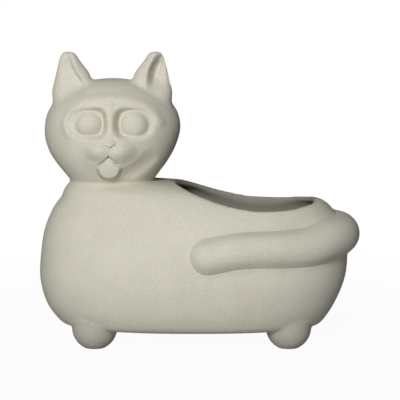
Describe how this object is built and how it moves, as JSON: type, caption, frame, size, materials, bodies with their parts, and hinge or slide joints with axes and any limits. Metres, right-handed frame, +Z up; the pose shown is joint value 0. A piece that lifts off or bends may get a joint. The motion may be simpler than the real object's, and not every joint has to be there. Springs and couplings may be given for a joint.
{
  "type": "cat shaped planter",
  "caption": "Cat shaped planter: hollow loaf body with a scooped mouth behind an upright head, a wrapped tail, ball feet and a lift-out drain plug.",
  "frame": {"origin": "on the floor, under the middle of the planter's box", "axes": "+X runs along the body from the head end to the rump, -Y is the way the face looks, +Z is up"},
  "size_m": [0.2413, 0.1428, 0.2182],
  "materials": {
    "stoneware": "matte",
    "plug_rubber": "matte"
  },
  "bodies": {
    "pot": {"body_shell": "stoneware", "head": "stoneware", "tail": "stoneware", "front_left_foot": "stoneware", "front_right_foot": "stoneware", "rear_left_foot": "stoneware", "rear_right_foot": "stoneware"},
    "plug": {"drain_plug": "plug_rubber"}
  },
  "joints": [
    {"name": "drain_plug_lift", "type": "slide", "parent": "pot", "child": "plug", "axis": [0, 0, 1], "range_m": [0, 0.1]}
  ]
}
